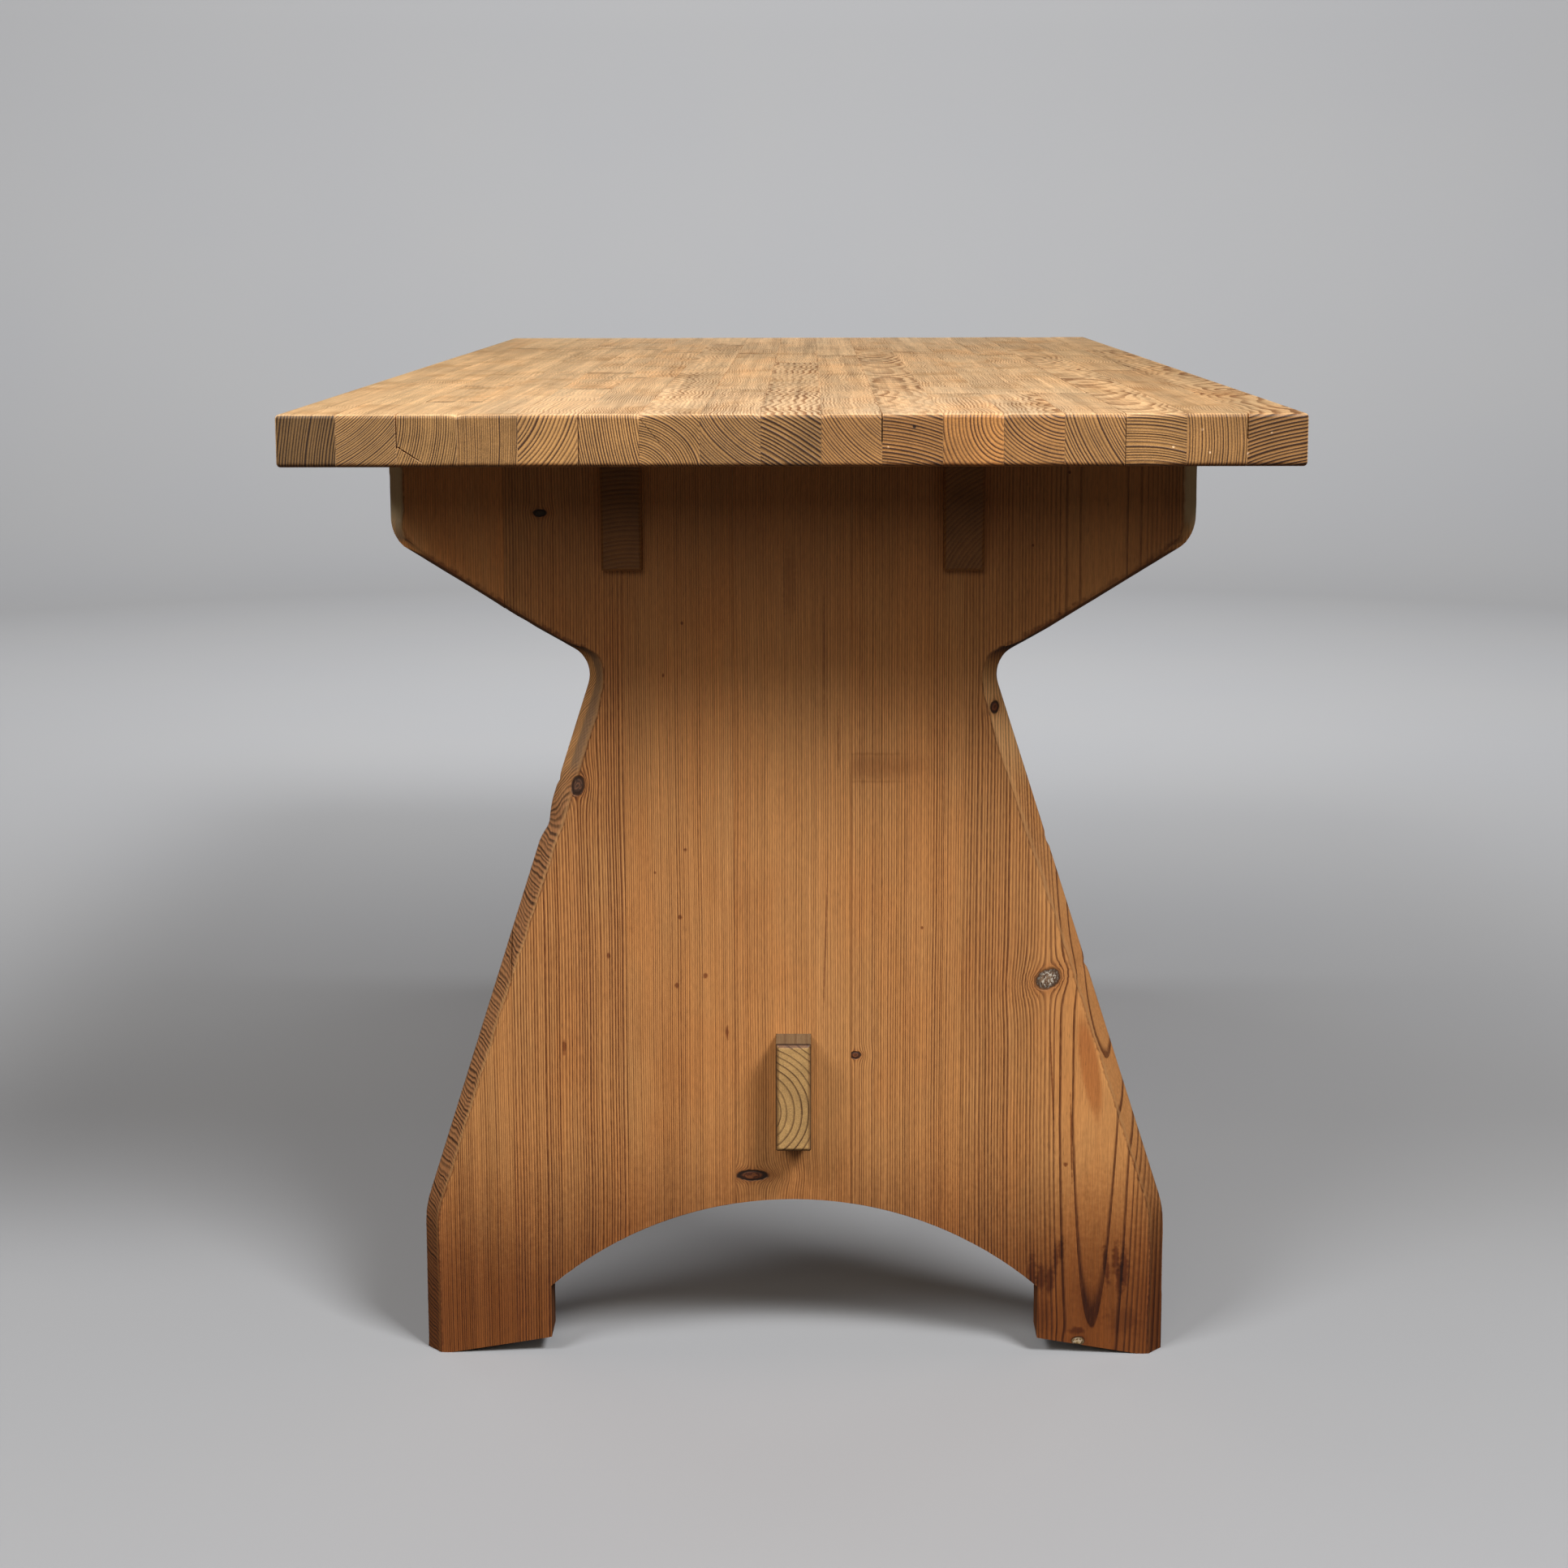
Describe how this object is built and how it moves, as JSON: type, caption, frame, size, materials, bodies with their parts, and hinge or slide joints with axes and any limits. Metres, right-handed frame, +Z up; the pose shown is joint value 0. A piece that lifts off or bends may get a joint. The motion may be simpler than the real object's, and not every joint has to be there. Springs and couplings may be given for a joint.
{
  "type": "trestle table",
  "caption": "Pine trestle dining table with a block-staved top on shaped plank ends, tied by two rails under the top and a stretcher with through tenons.",
  "frame": {"origin": "On the floor under the middle of the table.", "axes": "+Y along the table away from the pictured end, +X to the right of someone facing that end, +Z up."},
  "size_m": [0.7, 1.4, 0.75],
  "materials": {
    "top_pine": "waxed pine, worn",
    "end_pine": "oiled pine, worn",
    "rail_pine": "bare sawn pine",
    "screw_steel": "zinc plated"
  },
  "bodies": {
    "root": {"back_end_board_2": "end_pine", "back_end_board_3": "end_pine", "back_end_board_4": "end_pine", "back_end_board_5": "end_pine", "back_end_board_6": "end_pine", "back_end_left_foot": "end_pine", "back_end_left_wing": "end_pine", "front_end_board_2": "end_pine", "front_end_board_3": "end_pine", "front_end_board_4": "end_pine", "front_end_board_5": "end_pine", "front_end_board_6": "end_pine", "front_end_left_foot": "end_pine", "front_end_left_wing": "end_pine", "left_rail": "rail_pine", "right_rail": "rail_pine", "stretcher": "rail_pine", "top_fixing_screws": "screw_steel", "top_stave_01": "top_pine", "top_stave_02": "top_pine", "top_stave_03": "top_pine", "top_stave_04": "top_pine", "top_stave_05": "top_pine", "top_stave_06": "top_pine", "top_stave_07": "top_pine", "top_stave_08": "top_pine", "top_stave_09": "top_pine", "top_stave_10": "top_pine", "top_stave_11": "top_pine", "top_stave_12": "top_pine", "top_stave_13": "top_pine", "top_stave_14": "top_pine", "top_stave_15": "top_pine", "top_stave_16": "top_pine", "top_stave_17": "top_pine"}
  },
  "joints": []
}
